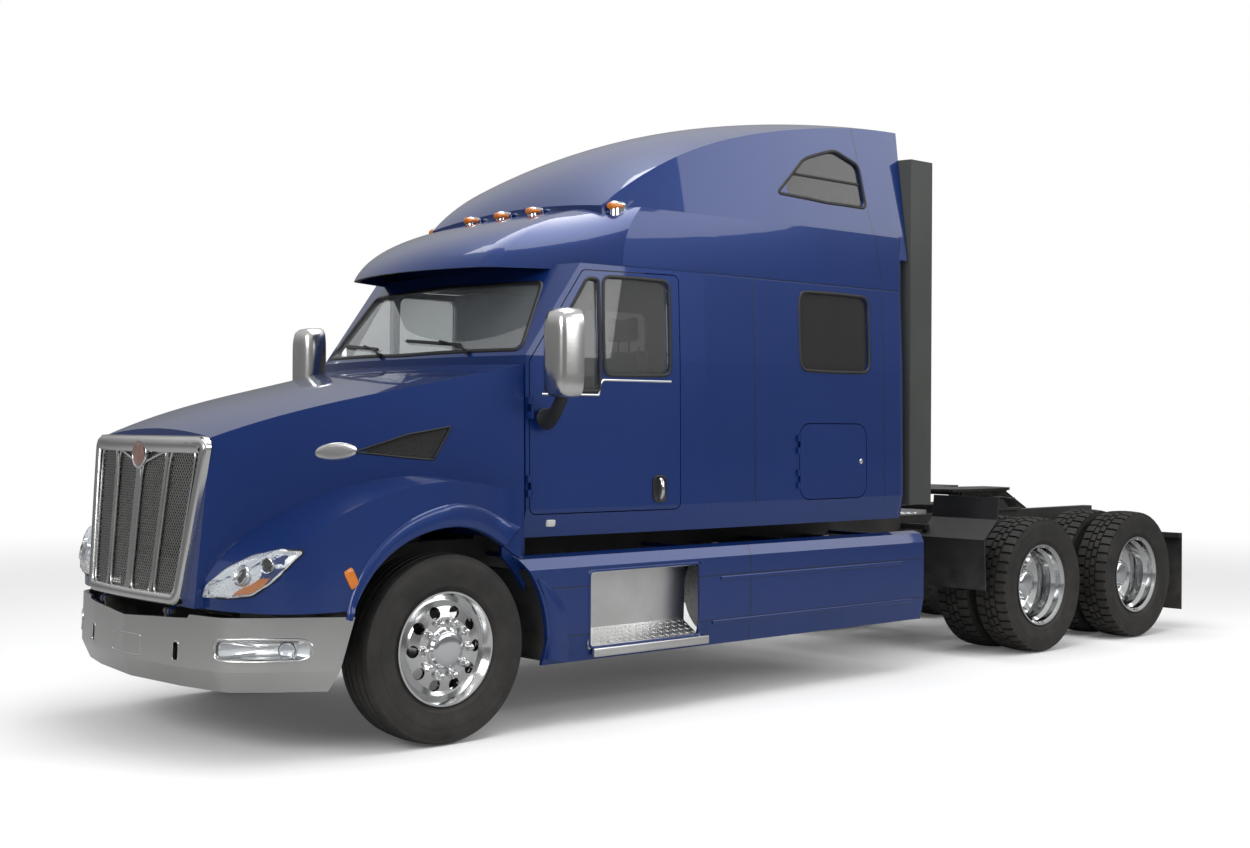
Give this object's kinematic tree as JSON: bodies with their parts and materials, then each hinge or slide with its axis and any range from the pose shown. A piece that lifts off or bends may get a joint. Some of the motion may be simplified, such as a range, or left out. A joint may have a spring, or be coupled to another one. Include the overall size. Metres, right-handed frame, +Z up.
{
  "type": "conventional highway tractor with sleeper cab",
  "caption": "Long-nose road tractor with tilting hood, sleeper cab, twin drive tyres and a tilting fifth wheel that locks round a trailer kingpin.",
  "frame": {"origin": "on the ground under the middle of the tractor's length and width", "axes": "+Y towards the rear, along the length; +X towards the tractor's left side; +Z up"},
  "size_m": [2.8482, 8.61, 3.8004],
  "materials": {
    "body_paint": "gloss",
    "bright_metal": "satin",
    "chrome_trim": "polished",
    "grille_wire": "satin",
    "polished_aluminium": "polished",
    "chassis_black": "satin",
    "cast_metal": "matte",
    "greased_steel": "oily",
    "black_plastic": "matte",
    "interior_plastic": "matte",
    "seat_cloth": "woven",
    "window_glass": "clear",
    "tinted_glass": "tinted",
    "clear_lens": "clear",
    "amber_lens": "gloss",
    "red_lens": "gloss",
    "tyre_rubber": "matte"
  },
  "bodies": {
    "chassis": {"frame_rails": "chassis_black", "front_bumper": "bright_metal", "fog_lamps": "clear_lens", "radiator": "chassis_black", "engine": "cast_metal", "front_axle": "chassis_black", "drive_axles": "chassis_black", "rear_suspension": "chassis_black", "cab_shell": "body_paint", "windshield": "window_glass", "dashboard": "interior_plastic", "seats": "seat_cloth", "sleeper_shell": "body_paint", "sleeper_windows": "tinted_glass", "roof_cap": "body_paint", "visor": "body_paint", "marker_lights": "amber_lens", "side_extenders": "black_plastic", "chassis_fairings": "body_paint", "tread_plates": "polished_aluminium", "fuel_tanks": "polished_aluminium", "mudguards": "black_plastic", "tail_lights": "red_lens", "fifth_wheel_base": "chassis_black"},
    "hood_assembly": {"hood": "body_paint", "grille_surround": "chrome_trim", "grille_mesh": "grille_wire", "headlights": "clear_lens", "hood_vents": "black_plastic"},
    "coupling_plate": {"fifth_wheel_plate": "greased_steel"},
    "cab_door_left": {"door_left": "body_paint", "door_glass_left": "window_glass", "mirror_left": "chrome_trim"},
    "hatch_left": {"luggage_door_left": "body_paint"},
    "steering_left": {"knuckle_left": "chassis_black"},
    "front_wheel_left": {"front_tyre_left": "tyre_rubber", "front_rim_left": "polished_aluminium"},
    "drive_wheels_1_left": {"drive_tyres_1_left": "tyre_rubber", "drive_rims_1_left": "polished_aluminium"},
    "drive_wheels_2_left": {"drive_tyres_2_left": "tyre_rubber", "drive_rims_2_left": "polished_aluminium"},
    "cab_door_right": {"door_right": "body_paint", "door_glass_right": "window_glass", "mirror_right": "chrome_trim"},
    "hatch_right": {"luggage_door_right": "body_paint"},
    "steering_right": {"knuckle_right": "chassis_black"},
    "front_wheel_right": {"front_tyre_right": "tyre_rubber", "front_rim_right": "polished_aluminium"},
    "drive_wheels_1_right": {"drive_tyres_1_right": "tyre_rubber", "drive_rims_1_right": "polished_aluminium"},
    "drive_wheels_2_right": {"drive_tyres_2_right": "tyre_rubber", "drive_rims_2_right": "polished_aluminium"}
  },
  "joints": [
    {"name": "hood_tilt", "type": "hinge", "parent": "chassis", "child": "hood_assembly", "pos_m": [0, -4.232, 0.715], "axis": [1, 0, 0], "range_deg": [0, 70]},
    {"name": "fifth_wheel_tilt", "type": "hinge", "parent": "chassis", "child": "coupling_plate", "pos_m": [0, 2.835, 1.085], "axis": [1, 0, 0], "range_deg": [-12, 12]},
    {"name": "door_left_swing", "type": "hinge", "parent": "chassis", "child": "cab_door_left", "pos_m": [1.08, -2.445, 1.5], "axis": [0, 0, -1], "range_deg": [0, 70]},
    {"name": "hatch_left_swing", "type": "hinge", "parent": "chassis", "child": "hatch_left", "pos_m": [1.134, -0.311, 1.44], "axis": [0, 0, -1], "range_deg": [0, 90]},
    {"name": "steer_left", "type": "hinge", "parent": "chassis", "child": "steering_left", "pos_m": [0.87, -3.065, 0.5], "axis": [0, 0, 1], "range_deg": [-35, 35]},
    {"name": "front_wheel_left_roll", "type": "hinge", "parent": "steering_left", "child": "front_wheel_left", "pos_m": [1.037, -3.065, 0.5], "axis": [1, 0, 0], "continuous": true},
    {"name": "drive_wheels_1_left_roll", "type": "hinge", "parent": "chassis", "child": "drive_wheels_1_left", "pos_m": [0.9145, 2.275, 0.5], "axis": [1, 0, 0], "continuous": true},
    {"name": "drive_wheels_2_left_roll", "type": "hinge", "parent": "chassis", "child": "drive_wheels_2_left", "pos_m": [0.9145, 3.595, 0.5], "axis": [1, 0, 0], "continuous": true},
    {"name": "door_right_swing", "type": "hinge", "parent": "chassis", "child": "cab_door_right", "pos_m": [-1.08, -2.445, 1.5], "axis": [0, 0, 1], "range_deg": [0, 70]},
    {"name": "hatch_right_swing", "type": "hinge", "parent": "chassis", "child": "hatch_right", "pos_m": [-1.134, -0.311, 1.44], "axis": [0, 0, 1], "range_deg": [0, 90]},
    {"name": "steer_right", "type": "hinge", "parent": "chassis", "child": "steering_right", "pos_m": [-0.87, -3.065, 0.5], "axis": [0, 0, 1], "range_deg": [-35, 35]},
    {"name": "front_wheel_right_roll", "type": "hinge", "parent": "steering_right", "child": "front_wheel_right", "pos_m": [-1.037, -3.065, 0.5], "axis": [1, 0, 0], "continuous": true},
    {"name": "drive_wheels_1_right_roll", "type": "hinge", "parent": "chassis", "child": "drive_wheels_1_right", "pos_m": [-0.9145, 2.275, 0.5], "axis": [1, 0, 0], "continuous": true},
    {"name": "drive_wheels_2_right_roll", "type": "hinge", "parent": "chassis", "child": "drive_wheels_2_right", "pos_m": [-0.9145, 3.595, 0.5], "axis": [1, 0, 0], "continuous": true}
  ],
  "couplings": [
    {"joint": "steer_right", "follows": "steer_left", "ratio": 1}
  ]
}
